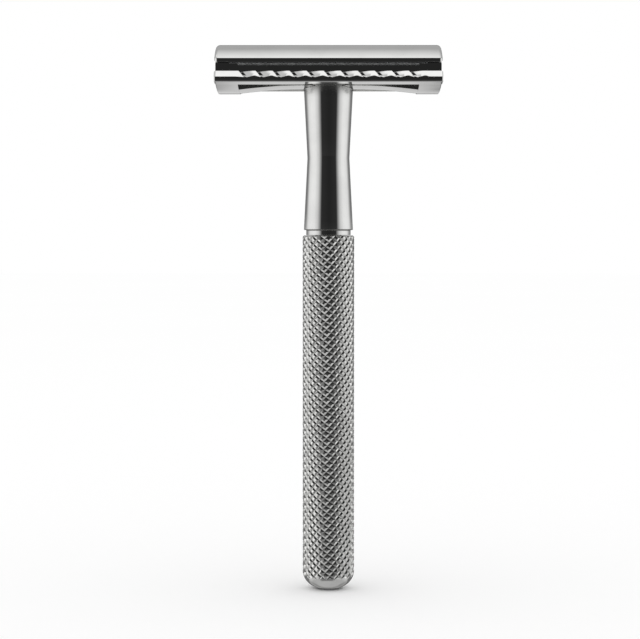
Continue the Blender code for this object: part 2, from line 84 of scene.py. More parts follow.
# Neck
WAIST_RADIUS = 4.05 * MM
WAIST_HEIGHT = 13.9 * MM  # above the neck's lower edge
WAIST_ROUND = 0.3 * MM
NECK_LAND = 0.25 * MM
NECK_TOP_ROUND = 0.1 * MM
NECK_EDGE_ROUND = 0.15 * MM
NECK_SHADE_LINE = 0.22 * MM  # reach of the painted shade in the corner under the neck's lower edge
NECK_HAZE_AND_SHADE_DEPTH = 2.6 * MM  # depth of the band at the top, hazed and painted darker as shade under the head
TURNED_RADIUS = 4.3 * MM
TURNED_HEIGHT = 1.0 * MM
TURNED_ROOT_ROUND = 0.12 * MM
TURNED_FOOT_ROUND = 0.06 * MM
TURNED_HOLD_TOP = 0.15 * MM  # inset of the points that keep the turned wall straight
TURNED_HOLD_FOOT = 0.09 * MM
NECK_BORE = 3.35 * MM
BORE_DEPTH = 9.4 * MM
FOOT_BORE = 2.6 * MM
FOOT_BORE_DEPTH = 9.05 * MM

# Head: heights are measured from the handle's seat
ARC_RADIUS = 20.0 * MM
SEAT_GAP = 0.05 * MM
BLADE_HALF_THICKNESS = 0.05 * MM
ARC_CENTRE = BLADE_HIGH.z - BLADE_HALF_THICKNESS - ARC_RADIUS - SEAT
CAP_LIP = 0.78 * MM
CAP_LIP_ROUND = 0.07 * MM
CAP_FOOT_ROUND = 0.06 * MM
CAP_END_FILLET = 0.7 * MM
LAND_END_INSET = 0.5 * MM
LAND_HALF_WIDTH = CAP_HIGH.y - 2.35 * MM
LAND_SHOULDER = CAP_HIGH.y - 0.3 * MM  # half the bed's width over the lugs
CHANNEL_FLOOR = 0.9 * MM
RIB_HALF_WIDTH = 4.0 * MM
RIB_ROOT = 0.2 * MM
RIB_DRAFT = 0.04  # run of the rib's wall, as a share of its height
RIB_DROP = 0.1 * MM  # underside of the rib beside the handle
RIB_END_DROP = 0.9 * MM  # underside of the rib where it meets a lug
RIB_KEEL = 0.45 * MM  # how far its rounded underside dips in the middle
LUG_DROP = SEAT - PLATE_LOW.z  # keel of a lug's rounded underside
LUG_LENGTH = 4.4 * MM
LUG_INNER = PLATE_HIGH.x - LUG_LENGTH
LUG_ROUND = 0.15 * MM
LUG_OVERLAP = 1.0 * MM
BRIDGE_HALF_LENGTH = 3.0 * MM
BRIDGE_TOP = 0.6 * MM
SEAT_CLEARANCE = 0.15 * MM
STUD_CLEARANCE = 0.2 * MM
PIN_CLEARANCE = 0.1 * MM

# Safety bars
BAR_TOP = 2.15 * MM
BAR_BEVEL = 1.14 * MM
BAR_DEPTH = 2.6 * MM
BAR_BACK = 0.6 * MM
BAR_CREST = 0.4 * MM
BAR_CREST_FALL = 0.13 * MM
BAR_FOOT = -0.3 * MM
BAR_UNDER = 0.0 * MM  # underside of the nose, level with the seat
BAR_NOSE_ROUND = 0.18 * MM
BAR_END_ROUND = 0.4 * MM
FOOT_RELIEF = 10.6 * MM  # radius of the handle's round clearance, cut in the bars' inner feet
NOTCH_COUNT = 11
NOTCH_PITCH = 3.2 * MM
NOTCH_OFFSET = -0.4 * MM  # of the row's middle from the bar's middle
NOTCH_START = NOTCH_OFFSET - NOTCH_PITCH * (NOTCH_COUNT - 1) / 2
NOTCH_DEPTH = 0.36 * MM
NOTCH_LEAN = 1.0 * MM  # sideways run from the bar's top to its nose
NOTCH_WALL = 0.07  # share of a pitch that the steep wall takes
NOTCH_END = 0.86  # share of a pitch where the scoop has run out
SCOOP_POWER = 1.4  # how soon the scoop runs out
BROW_WAVE = 0.14 * MM  # dip of the bevel's lower edge under each notch
BROW_PHASE = 0.12  # share of a pitch where that dip is lowest
NOTCH_STEPS = 14
BEVEL_STEPS = 8

# Blade
BLADE_WIDTH = 22.0 * MM
BLADE_TAB_LENGTH = 2.7 * MM
BLADE_TAB_HALF_WIDTH = 7.0 * MM
BLADE_GROUND = 0.9 * MM  # width of the ground edge
BLADE_EDGE_HALF = 0.006 * MM
SLOT_HALF_WIDTH = 0.8 * MM
SLOT_EYE = 3.1 * MM
SLOT_TOOTH = 2.1 * MM
SLOT_TEETH = 2
SLOT_PIN_HALF_WIDTH = 1.9 * MM
SLOT_PIN_HALF_LENGTH = 2.4 * MM

# Thread on the cap's stud
THREAD_PITCH = 0.8 * MM
THREAD_DEPTH = 0.42 * MM
THREAD_FLAT = 0.16  # share of a pitch that is flat at the crest and at the root
STUD_CHAMFER = 0.5 * MM
STUD_PLAIN = 1.6 * MM  # unthreaded length below the cap
PIN_ROUND = 0.45 * MM

# Facets
GRIP_SIDES = 160
NECK_SIDES = 192
PIN_SIDES = 48
THREAD_SIDES = 72
THREAD_STEPS = 12
ARC_STEPS = 36
SPINE_STEPS = 28
ROUND_STEPS = 8
KEEL_STEPS = 12
DOME_STEPS = 28
CORNER_STEPS = 4
CARD_STEPS = 24

# Finishes: polished colour, hazed colour, the roughness of each, how far the fine lines are
# stretched along each axis, and their scale
CAP_FINISH = ((0.82, 0.82, 0.81), (0.76, 0.76, 0.75), (0.03, 0.07), (1, 25, 25), 60)
NECK_FINISH = ((0.82, 0.82, 0.81), (0.76, 0.76, 0.75), (0.03, 0.07), (1, 1, 40), 60)
PLATE_FINISH = ((0.83, 0.83, 0.82), (0.76, 0.76, 0.75), (0.04, 0.09), (30, 1, 1), 60)
KNURL_FINISH = ((0.86, 0.86, 0.845), (0.79, 0.79, 0.775), (0.05, 0.10), (1, 1, 6), 900)
STEEL_FINISH = ((0.60, 0.60, 0.59), (0.50, 0.50, 0.49), (0.22, 0.34), (1, 1, 20), 300)
BRASS_FINISH = ((0.78, 0.57, 0.24), (0.62, 0.44, 0.18), (0.20, 0.36), (1, 1, 20), 300)
BLADE_FINISH = ((0.44, 0.45, 0.46), (0.38, 0.39, 0.40), (0.16, 0.26), (1, 14, 14), 300)
PLATED_WAVE = 1.2  # height of the slow waviness, in tens of microns
DRAWN_WAVE = 0.4
WAVE_SCALE = 160
WAVE_STRENGTH = 0.3
HAZE_SCALE = 220
HAZE_SPAN = (0.35, 0.75)
LINE_ROUGHNESS = (0.3, 0.7, 0.7, 1.35)
SCRATCH_HEIGHT = 0.8 * MICRON
SCRATCH_STRENGTH = 0.5

# Residues, painted shade and worked surfaces: colour and roughness
GROOVE_RESIDUE = ((0.10, 0.095, 0.085), 0.45)
# Painted shade round the foot of the grip
FOOT_PAINTED_SHADE = ((0.12, 0.12, 0.115), 0.5)
# Painted shade in the root of each notch
NOTCH_PAINTED_SHADE = ((0.02, 0.02, 0.02), 0.4)
# Hazed, and painted darker as shade under the head
NECK_TOP_HAZE_AND_SHADE = ((0.50, 0.50, 0.49), 0.26)
# Painted shade in the corner under the neck's lower edge
NECK_LINE_PAINTED_SHADE = ((0.34, 0.34, 0.33), 0.35)
GROUND_EDGE = ((0.50, 0.51, 0.52), 0.30)
GROOVE_RESIDUE_TOP = 0.5  # share of a groove's depth where its residue begins
DOME_CLEAN = 0.6  # share of the dome's height that has none
PATCH_SCALE = 500
PATCH_SPAN = (0.35, 0.65, 0.0, 0.35)
NOTCH_SHADE_START = NOTCH_WALL * 0.3  # shares of a pitch where the painted shade sets in and where it ends
NOTCH_SHADE_END = (NOTCH_WALL * 2.6, NOTCH_WALL * 3.5)
NOTCH_SHADE_LOW = (0.90, 0.72)  # shares of the bevel's height over which it fades out below
GROUND_FADE = 0.9  # share of the ground width where its finish is full

# Studio
FOCAL_LENGTH = 113.1  # millimetres, on Blender's own 36 mm sensor
CLIP_START = 0.01
CAMERA_PLACE = (0, -0.390, 0.0694)
CAMERA_PITCH = math.radians(-2.49)
CAMERA_YAW = math.radians(0.24)
STUDIO_CENTRE = Vector((0, 0, 0.08))
CARD_DISTANCE = 0.8
FLOOR_HALF = 3.0
FLOOR_DROP = 20 * MICRON  # keeps the floor clear of the grip's end
FLOOR_TINT = (0.985, 1.0)
FLOOR_CLOUD_SCALE = 3.0
FLOOR_ROUGHNESS = 0.9
SOFTBOX_SIZE = 0.5
SOFTBOX_POWER = 0.08
SOFTBOX_PLACE = (0, 0.02, 0.85)

# Cards: angles are degrees of azimuth from the camera's side, or of elevation. A pair of angles
# is where an effect begins and where it is full, and two shares after it are its size at each.
CARD_FOOT = -40
FLAG_CARD_TOP = 66
FLAG_TURN = 2.5
FLAG_BY_AZIMUTH = ((0, 0.02), (37, 0.03), (56, 0.70), (74, 0.95), (90, 0.97))
FLAG_HIGH = (8, 18)  # where the flag widens
FLAG_SPREAD = 0.45
FLAG_TOP = (52, 64)  # where it pales to white
FLAG_LIFT = ((-14, 0.10), (-2, 0.0), (20, 0.0))
FLAG_FOOT = (-28, -36)  # where it passes into the table's grey
RIGHT_SHADE = (-1, -11, 0.0, 0.42)
RIGHT_SIDE = (30, 80)
RIGHT_LOW = (-26, -17)
BACK_CARD_TOP = 70
BACK_BY_ELEVATION = (
    (-36, 0.65),
    (-5, 0.65),
    (0, 0.13),
    (8, 0.16),
    (23, 0.42),
    (40, 0.45),
    (67, 1.0),
)
BACK_SIDE = ((90, 0.97), (112, 0.85), (134, 0.12), (180, 0.0))
BACK_BAND = (150, 120, 0.0, 0.6)
BACK_STRIP = (177, 171)  # outside the strip right behind the razor
BACK_EDGE = (105, 130)
BACK_SHADE = (-7, -20, 0.0, 0.75)
GROUND_CARD_LOW = -89.5
GROUND_BRIGHT = 0.62
GROUND_GREY = 0.46
GROUND_DARK = 0.42  # share of the brightness left towards the camera
GROUND_SECTOR = (26, 54)
GROUND_TURN = -8
GROUND_FAR = (-53, -42)
GROUND_NEAR = (-57, -66)
GROUND_BACK = (110, 140, 1.0, 0.62)
CEILING_GREY = 0.62
CEILING_LOW = (50, 60)
CEILING_HIGH = (82, 76)
CEILING_AZIMUTH = -100
CEILING_SPREAD = 55
CEILING_NEAR = 0.9  # scale that brings the panel nearer than the other cards


def smooth(share):
    """An ease from 0 to 1."""
    share = min(1.0, max(0.0, share))
    return share * share * (3 - 2 * share)


def quarter(steps):
    return [math.pi / 2 * k / steps for k in range(steps + 1)]


# Mesh code


def polar(radius, angle, height):
    return radius * math.cos(angle), radius * math.sin(angle), height


def soften(mesh, sharp):
    """Smooth shading, with creases only where faces meet at more than sharp degrees."""
    mesh.shade_smooth()
    mesh.set_sharp_from_angle(angle=math.radians(sharp))


def piece_from(name, build, sharp=30):
    """Links a bmesh as an object."""
    bmesh.ops.recalc_face_normals(build, faces=build.faces)
    mesh = bpy.data.meshes.new(name)
    build.to_mesh(mesh)
    build.free()
    soften(mesh, sharp)
    made = bpy.data.objects.new(name, mesh)
    bpy.context.scene.collection.objects.link(made)
    return made


def turned(name, profile, sides, sharp=30):
    """Turns (radius, height) points about Z."""
    build = bmesh.new()
    rings = []
    for radius, height in profile:
        count = sides if radius > MERGE else 1
        turns = [2 * math.pi * k / sides for k in range(count)]
        rings.append([build.verts.new(polar(radius, angle, height)) for angle in turns])
    for first, second in zip(rings, rings[1:]):
        for k in range(sides):
            around = ((first, k), (first, k + 1), (second, k + 1), (second, k))
            corners = [ring[j % len(ring)] for ring, j in around]
            build.faces.new(list(dict.fromkeys(corners)))
    return piece_from(name, build, sharp)


def loft(name, rings, sharp=30):
    """A closed solid through rings of points."""
    build = bmesh.new()
    loops = [[build.verts.new(point) for point in ring] for ring in rings]
    for first, second in zip(loops, loops[1:]):
        for k in range(len(first)):
            near = (k + 1) % len(first)
            build.faces.new((first[k], first[near], second[near], second[k]))
    build.faces.new(loops[0])
    build.faces.new(loops[-1])
    return piece_from(name, build, sharp)


def rounded(corners, steps=CORNER_STEPS):
    """A line through (a, b, radius) corners, each eased over about that radius."""
    line = []
    for k, (a, b, radius) in enumerate(corners):
        here = Vector((a, b))
        if not radius:
            line.append((a, b))
            continue
        before = (Vector(corners[k - 1][:2]) - here).normalized() * radius
        after = (Vector(corners[k + 1][:2]) - here).normalized() * radius
        for j in range(steps + 1):
            share = j / steps
            point = here + before * (1 - share) ** 2 + after * share**2
            line.append((point.x, point.y))
    return line


def mirrored(half):
    """A ring from its +Y half, listed from the top of the middle plane round to the bottom."""
    return half + [(-y, z) for y, z in reversed(half) if y > MERGE]


def combine(piece, operation, *helpers, sharp=30):
    """Joins, cuts or trims a piece by helpers, which are then gone, and mends the seams."""
    for helper in helpers:
        step = piece.modifiers.new(helper.name, "BOOLEAN")
        step.operation = operation
        step.object = helper
        step.solver = "EXACT"
    graph = bpy.context.evaluated_depsgraph_get()
    mesh = bpy.data.meshes.new_from_object(piece.evaluated_get(graph))
    piece.modifiers.clear()
    piece.data = mesh
    build = bmesh.new()
    build.from_mesh(mesh)
    bmesh.ops.remove_doubles(build, verts=build.verts, dist=MERGE)
    bmesh.ops.dissolve_degenerate(build, edges=build.edges, dist=MERGE)
    bmesh.ops.holes_fill(build, edges=[edge for edge in build.edges if edge.is_boundary])
    bmesh.ops.triangulate(build, faces=[face for face in build.faces if len(face.verts) > 4])
    build.to_mesh(mesh)
    build.free()
    soften(mesh, sharp)
    for helper in helpers:
        bpy.data.objects.remove(helper)


def drill(radius, low, high, x=0.0, sides=NECK_SIDES):
    cutter = turned("drill", [(0, high), (radius, high), (radius, low), (0, low)], sides)
    cutter.location.x = x
    bpy.context.view_layer.update()
    return cutter


def arc_height(radius, y):
    """Height of an arc about the bent blade's own centre line."""
    return SEAT + ARC_CENTRE + math.sqrt(radius**2 - y**2)


# Handle


def knurl_place(right, left):
    """Angle and height where line right of one family crosses line left of the other."""
    right_turn = 1 / (KNURL_RIGHT_STARTS * KNURL_RIGHT_PITCH)
    left_turn = 1 / (KNURL_LEFT_STARTS * KNURL_LEFT_PITCH)
    height = (left / KNURL_LEFT_STARTS - right / KNURL_RIGHT_STARTS) / (right_turn + left_turn)
    return 2 * math.pi * (right / KNURL_RIGHT_STARTS + height * right_turn), height


def groove_depth(mark):
    return KNURL_DEPTH * max(0.0, 1 - min(mark, 1 - mark) / GROOVE_SHARE)


def knurl_field():
    """A rod of flat-topped diamonds that runs past both ends of the grip."""
    build = bmesh.new()
    count = len(KNURL_MARKS)
    margin = 2 * max(KNURL_RIGHT_PITCH, KNURL_LEFT_PITCH)
    low, high = -margin, GRIP_TOP + margin
    span = KNURL_LEFT_STARTS / KNURL_RIGHT_STARTS
    rise = span / KNURL_RIGHT_PITCH + 1 / KNURL_LEFT_PITCH
    points = {}

    def point(i, j):
        turns, i = divmod(i, KNURL_RIGHT_STARTS * count)
        key = (i, j - turns * KNURL_LEFT_STARTS * count)
        if key not in points:
            right, left = divmod(key[0], count), divmod(key[1], count)
            marks = KNURL_MARKS[right[1]], KNURL_MARKS[left[1]]
            angle, height = knurl_place(right[0] + marks[0], left[0] + marks[1])
            radius = GRIP_RADIUS - max(groove_depth(mark) for mark in marks)
            points[key] = build.verts.new(polar(radius, angle, height))
        return points[key]

    last = count - 1
    for right in range(KNURL_RIGHT_STARTS):
        first_left = math.ceil(right * span + low * rise)
        last_left = math.floor(right * span + high * rise)
        for left in range(first_left, last_left):
            for k in range(count):
                for m in range(count):
                    i, j = right * count + k, left * count + m
                    ring = [point(i, j), point(i + 1, j), point(i + 1, j + 1), point(i, j + 1)]
                    if k in (0, last) and m in (0, last):
                        # Two groove walls meet here, on a crease that leaves the crossing
                        if k != m:
                            ring = ring[1:] + ring[:1]
                        build.faces.new((ring[0], ring[1], ring[2]))
                        build.faces.new((ring[0], ring[2], ring[3]))
                    else:
                        build.faces.new(ring)
    rims = [edge for edge in build.edges if edge.is_boundary]
    for height in (low, high):
        middle = build.verts.new((0, 0, height))
        for edge in rims:
            if (edge.verts[0].co.z > GRIP_TOP / 2) == (height == high):
                build.faces.new((*edge.verts, middle))
    return piece_from("knurl_field", build)


def make_grip():
    blank = GRIP_RADIUS + GRIP_SPARE
    profile = [(0, GRIP_TOP), (GRIP_RADIUS - GRIP_EDGE, GRIP_TOP), (blank, GRIP_TOP - GRIP_EDGE)]
    for angle in quarter(DOME_STEPS):
        reach = DOME_FLAT + (blank - DOME_FLAT) * math.cos(angle)
        profile.append((reach, DOME_HEIGHT * (1 - math.sin(angle))))
    profile.append((0, 0))
    grip = turned("knurled_grip", profile, GRIP_SIDES)
    combine(grip, "INTERSECT", knurl_field(), sharp=22)
    return grip


def make_neck():
    """The waisted neck and the turned step below it, with the bores the CAD has."""
    edge = NECK_FOOT + TURNED_HEIGHT
    profile = [(0, SEAT - BORE_DEPTH), (NECK_BORE, SEAT - BORE_DEPTH), (NECK_BORE, SEAT)]
    profile += rounded(
        [
            (NECK_BORE, SEAT, 0),
            (NECK_RADIUS, SEAT, NECK_TOP_ROUND),
            (NECK_RADIUS, SEAT - NECK_LAND, NECK_TOP_ROUND),
            (WAIST_RADIUS, edge + WAIST_HEIGHT, WAIST_ROUND),
            (NECK_RADIUS, edge, NECK_EDGE_ROUND),
            (TURNED_RADIUS, edge, TURNED_ROOT_ROUND),
            (TURNED_RADIUS, edge - TURNED_HOLD_TOP, 0),
            (TURNED_RADIUS, NECK_FOOT + TURNED_HOLD_FOOT, 0),
            (TURNED_RADIUS, NECK_FOOT, TURNED_FOOT_ROUND),
            (FOOT_BORE, NECK_FOOT, 0),
        ]
    )[1:]
    profile += [(FOOT_BORE, NECK_FOOT + FOOT_BORE_DEPTH), (0, NECK_FOOT + FOOT_BORE_DEPTH)]
    return turned("polished_neck", profile, NECK_SIDES, sharp=35)


# Head


def rib_bottom(x):
    """Underside of the plate's rib: level round the handle, then arching down to the lugs."""
    reach = max(0.0, abs(x) - NECK_RADIUS) / (LUG_INNER - NECK_RADIUS)
    return -RIB_DROP - (RIB_END_DROP - RIB_DROP) * min(1.0, reach) ** 2


def make_spine():
    end = PLATE_HIGH.x - LAND_END_INSET
    tuck = LUG_INNER + LUG_OVERLAP
    places = [LUG_INNER * k / SPINE_STEPS for k in range(-SPINE_STEPS, SPINE_STEPS + 1)]
    places = [-end, -tuck] + places + [tuck, end]
    bed = ARC_RADIUS - BLADE_HALF_THICKNESS - SEAT_GAP
    arc = [LAND_HALF_WIDTH * k / ARC_STEPS for k in range(ARC_STEPS + 1)]
    rings = []
    for x in places:
        bottom = -RIB_DROP if abs(x) > LUG_INNER else rib_bottom(x)
        half = [(y, arc_height(bed, y)) for y in arc]
        half += [(LAND_HALF_WIDTH, SEAT + CHANNEL_FLOOR), (RIB_HALF_WIDTH, SEAT + RIB_ROOT)]
        edge = RIB_HALF_WIDTH - RIB_DRAFT * (RIB_ROOT - bottom)
        for k in reversed(range(KEEL_STEPS + 1)):
            share = k / KEEL_STEPS
            half.append((edge * share, SEAT + bottom - RIB_KEEL * (1 - share**2)))
        rings.append([(x, y, z) for y, z in mirrored(half)])
    return loft("scalloped_base_plate", rings)


def make_lug(side):
    """A solid end of the plate: it carries both bars, and the bed widens into shoulders over it."""
    outer = PLATE_HIGH.x - BAR_END_ROUND / 2
    edge = PLATE_HIGH.y - LUG_OVERLAP
    tuck = LAND_HALF_WIDTH - LUG_OVERLAP
    bed = [tuck + (LAND_SHOULDER - tuck) * k / ROUND_STEPS for k in range(ROUND_STEPS + 1)]
    radius = ARC_RADIUS - BLADE_HALF_THICKNESS - 2 * SEAT_GAP
    stations = [(LUG_INNER, 0.0)]
    for angle in quarter(ROUND_STEPS):
        x = outer - LUG_ROUND * (1 - math.sin(angle))
        stations.append((x, LUG_ROUND * (1 - math.cos(angle))))
    rings = []
    for x, lift in stations:
        arc = [(y, arc_height(radius, y) - lift) for y in bed]
        half = [(0, arc[0][1])] + arc
        half += [(y, SEAT + CHANNEL_FLOOR) for y in (LAND_SHOULDER, edge)]
        foot = BAR_UNDER + SEAT_GAP
        for k in reversed(range(KEEL_STEPS + 1)):
            share = k / KEEL_STEPS
            half.append((edge * share, SEAT + foot * share**2 - (LUG_DROP - lift) * (1 - share**2)))
        rings.append([(side * x, y, z) for y, z in mirrored(half)])
    return loft("lug", rings)


def make_bridge():
    """The short web that ties the bars to the rib between the lather slots."""
    reach = PLATE_HIGH.y - BAR_DEPTH + LUG_OVERLAP
    section = [(reach, BRIDGE_TOP), (reach, 0), (-reach, 0), (-reach, BRIDGE_TOP)]
    ends = (-BRIDGE_HALF_LENGTH, BRIDGE_HALF_LENGTH)
    return loft("bridge", [[(x, y, SEAT + z) for y, z in section] for x in ends])


def notch_share(phase):
    """Depth of a notch over one pitch: a steep left wall, then a scoop that runs out to a ridge."""
    if phase < NOTCH_WALL:
        return smooth(phase / NOTCH_WALL)
    return max(0.0, (NOTCH_END - phase) / (NOTCH_END - NOTCH_WALL)) ** SCOOP_POWER


def brow_share(phase):
    """How far the bevel's lower edge dips, in a soft wave that is lowest just past the wall."""
    return math.cos(2 * math.pi * (phase - BROW_PHASE))


def bar_ring(x, phase, scale):
    """One station of a bar, as (x, distance out from the middle, height) points.

    A plain station has no phase.
    """
    nose = PLATE_HIGH.y
    foot, crest = nose - BAR_DEPTH, nose - BAR_BEVEL
    notch = wave = lean = 0.0
    if phase is not None:
        notch = NOTCH_DEPTH * notch_share(phase) / math.sqrt(2)
        wave = BROW_WAVE * brow_share(phase) / 2
        lean = NOTCH_LEAN
    ring = [(x, foot, BAR_FOOT), (x, foot, BAR_BACK)]
    ring.append((x - lean / 2, crest - BAR_CREST, BAR_TOP - BAR_CREST_FALL - 2 * notch))
    ring.append((x - lean / 2, crest - BAR_CREST / 2 - notch, BAR_TOP - BAR_CREST_FALL / 4 - notch))
    for k in range(BEVEL_STEPS + 1):
        down = k / BEVEL_STEPS
        cut = notch + (wave - notch) * down**2
        out = crest - cut + (BAR_BEVEL + cut) * down
        ring.append((x + lean * (down - 0.5), out, BAR_TOP - cut - (BAR_BEVEL + cut) * down))
    brow_x = ring[-1][0]
    for angle in quarter(CORNER_STEPS):
        out = nose - BAR_NOSE_ROUND * (1 - math.cos(angle))
        ring.append((brow_x, out, BAR_UNDER + BAR_NOSE_ROUND * (1 - math.sin(angle))))
    deep, high = nose - BAR_DEPTH / 2, BAR_TOP / 2
    return [(px, deep + (out - deep) * scale, high + (z - high) * scale) for px, out, z in ring]


def make_bar(side):
    """A safety bar with leaning notches. The far bar is the near one turned half round."""
    ends = []
    for angle in quarter(ROUND_STEPS):
        x = PLATE_HIGH.x - BAR_END_ROUND * (1 - math.sin(angle))
        ends.append((x, 1 - BAR_END_ROUND / BAR_DEPTH * (1 - math.cos(angle))))
    stations = [(-x, None, scale) for x, scale in reversed(ends)]
    phases = [NOTCH_WALL * k / CORNER_STEPS for k in range(CORNER_STEPS)]
    scoop = NOTCH_END - NOTCH_WALL
    phases += [NOTCH_WALL + scoop * k / NOTCH_STEPS for k in range(NOTCH_STEPS + 1)]
    stations.append((NOTCH_START - NOTCH_LEAN, None, 1))
    for notch in range(NOTCH_COUNT):
        for phase in phases:
            stations.append((NOTCH_START + NOTCH_PITCH * (notch + phase), phase, 1))
    stations.append((stations[-1][0] + NOTCH_LEAN, None, 1))
    stations += [(x, None, scale) for x, scale in ends]
    rings = []
    for station in stations:
        rings.append([(-side * x, side * out, SEAT + z) for x, out, z in bar_ring(*station)])
    bar = loft("bar", rings)
    combine(bar, "DIFFERENCE", drill(FOOT_RELIEF, PLATE_LOW.z - MM, SEAT))
    return bar


def make_base_plate():
    plate = make_spine()
    combine(plate, "UNION", make_lug(-1), make_lug(1), make_bridge(), make_bar(-1), make_bar(1))
    low, high = PLATE_LOW.z - MM, PLATE_HIGH.z + MM
    holes = [drill(NECK_RADIUS + SEAT_CLEARANCE, low, SEAT + SEAT_GAP)]
    holes.append(drill(STUD_HIGH.x + STUD_CLEARANCE, low, high))
    for x in (-PIN_PLACE, PIN_PLACE):
        holes.append(drill(PIN_RADIUS + PIN_CLEARANCE, PIN_LOW.z - SEAT_GAP, high, x, PIN_SIDES))
    combine(plate, "DIFFERENCE", *holes, sharp=28)
    return plate


def slot_outline():
    """The blade's cut-out: a round eye, toothed windows and pin windows on one long slot."""
    start = math.asin(SLOT_HALF_WIDTH / SLOT_EYE)
    upper = []
    for k in range(ROUND_STEPS * 2 + 1):
        angle = math.pi / 2 + (start - math.pi / 2) * k / (ROUND_STEPS * 2)
        upper.append((SLOT_EYE * math.cos(angle), SLOT_EYE * math.sin(angle)))
    teeth = (SLOT_TOOTH, SLOT_HALF_WIDTH) * SLOT_TEETH
    root = upper[-1][0]
    step = (PIN_PLACE - SLOT_PIN_HALF_LENGTH - root) / (len(teeth) + 2)
    for k, half in enumerate(teeth):
        upper.append((root + step * (k + 2), half))
    upper.append((PIN_PLACE - SLOT_PIN_HALF_LENGTH + SEAT_GAP, SLOT_PIN_HALF_WIDTH))
    upper.append((PIN_PLACE + SLOT_PIN_HALF_LENGTH, SLOT_PIN_HALF_WIDTH))
    upper.append((PIN_PLACE + SLOT_PIN_HALF_LENGTH + SLOT_HALF_WIDTH, SLOT_HALF_WIDTH))
    right = upper + [(x, -y) for x, y in reversed(upper)]
    left = [(-x, -y) for x, y in upper[1:]] + [(-x, y) for x, y in reversed(upper[1:])]
    return right + left


def make_blade():
    """The blade is cut flat, ground along both edges and bent round the head's arc."""
    half_length, half_width = BLADE_HIGH.x, BLADE_WIDTH / 2
    edge, tab, half = half_length - BLADE_TAB_LENGTH, BLADE_TAB_HALF_WIDTH, BLADE_HALF_THICKNESS
    quadrant = [(half_length, tab), (edge, tab), (edge, half_width)]
    outline = quadrant + [(-x, y) for x, y in reversed(quadrant)]
    outline += [(-x, -y) for x, y in quadrant] + [(x, -y) for x, y in reversed(quadrant)]
    blade = loft("ground_blade", [[(x, y, z) for x, y in outline] for z in (-half, half)])
    slot = loft("slot", [[(x, y, z) for x, y in slot_outline()] for z in (-MM, MM)])
    combine(blade, "DIFFERENCE", slot)
    build = bmesh.new()
    build.from_mesh(blade.data)
    creases = [half_width * k / ARC_STEPS for k in range(1 - ARC_STEPS, ARC_STEPS)]
    for y in creases + [BLADE_GROUND - half_width, half_width - BLADE_GROUND]:
        everything = build.verts[:] + build.edges[:] + build.faces[:]
        bmesh.ops.bisect_plane(
            build, geom=everything, plane_co=(0, y, 0), plane_no=(0, 1, 0), dist=MERGE
        )
    for vert in build.verts:
        ground = max(0.0, abs(vert.co.y) - half_width + BLADE_GROUND) / BLADE_GROUND
        thin = 1 + (BLADE_EDGE_HALF / half - 1) * ground
        radius = ARC_RADIUS + vert.co.z * thin
        angle = vert.co.y / ARC_RADIUS
        vert.co.y = radius * math.sin(angle)
        vert.co.z = SEAT + ARC_CENTRE + radius * math.cos(angle)
    build.to_mesh(blade.data)
    build.free()
    soften(blade.data, sharp=20)
    return blade


def cap_half_section(inset, keep):
    """The cap's +Y half: its crowned top thinned to a share, and its underside on the blade."""
    width = CAP_HIGH.y
    under_radius = ARC_RADIUS + BLADE_HALF_THICKNESS + SEAT_GAP
    lip_top = arc_height(under_radius, width) + CAP_LIP
    rise = CAP_HIGH.z - lip_top
    crown_radius = (width**2 + rise**2) / (2 * rise)
    crown_centre = CAP_HIGH.z - crown_radius

    def under(y):
        return arc_height(under_radius, y)

    def over(y):
        full = crown_centre + math.sqrt(crown_radius**2 - y**2)
        return under(y) + keep * (full - under(y))

    edge = width - inset
    corner = edge - 2 * CAP_LIP_ROUND
    steps = [corner * k / ARC_STEPS for k in range(ARC_STEPS + 1)]
    lip = [(corner, over(corner), 0), (edge, over(edge), CAP_LIP_ROUND)]
    lip += [(edge, under(edge), CAP_FOOT_ROUND), (corner, under(corner), 0)]
    half = [(y, over(y)) for y in steps[:-1]] + rounded(lip, ROUND_STEPS)
    return half + [(y, under(y)) for y in reversed(steps[:-1])]


def make_cap():
    end = CAP_HIGH.x
    thickness = CAP_HIGH.z - arc_height(ARC_RADIUS, 0)
    stations = []
    for angle in quarter(ROUND_STEPS):
        inset = CAP_END_FILLET * (1 - math.cos(angle))
        stations.append((end - CAP_END_FILLET * (1 - math.sin(angle)), inset))
    stations = [(-x, inset) for x, inset in reversed(stations)] + stations
    rings = []
    for x, inset in stations:
        section = mirrored(cap_half_section(inset, 1 - inset / thickness))
        rings.append([(x, y, z) for y, z in section])
    cap = loft("crowned_cap", rings, sharp=40)
    low = arc_height(ARC_RADIUS, 0)
    holes = [drill(STUD_HIGH.x + SEAT_GAP, low - MM, STUD_HIGH.z + SEAT_GAP)]
    for x in (-PIN_PLACE, PIN_PLACE):
        holes.append(drill(PIN_RADIUS + SEAT_GAP, low - MM, PIN_HIGH.z + SEAT_GAP, x, PIN_SIDES))
    combine(cap, "DIFFERENCE", *holes, sharp=40)
    return cap


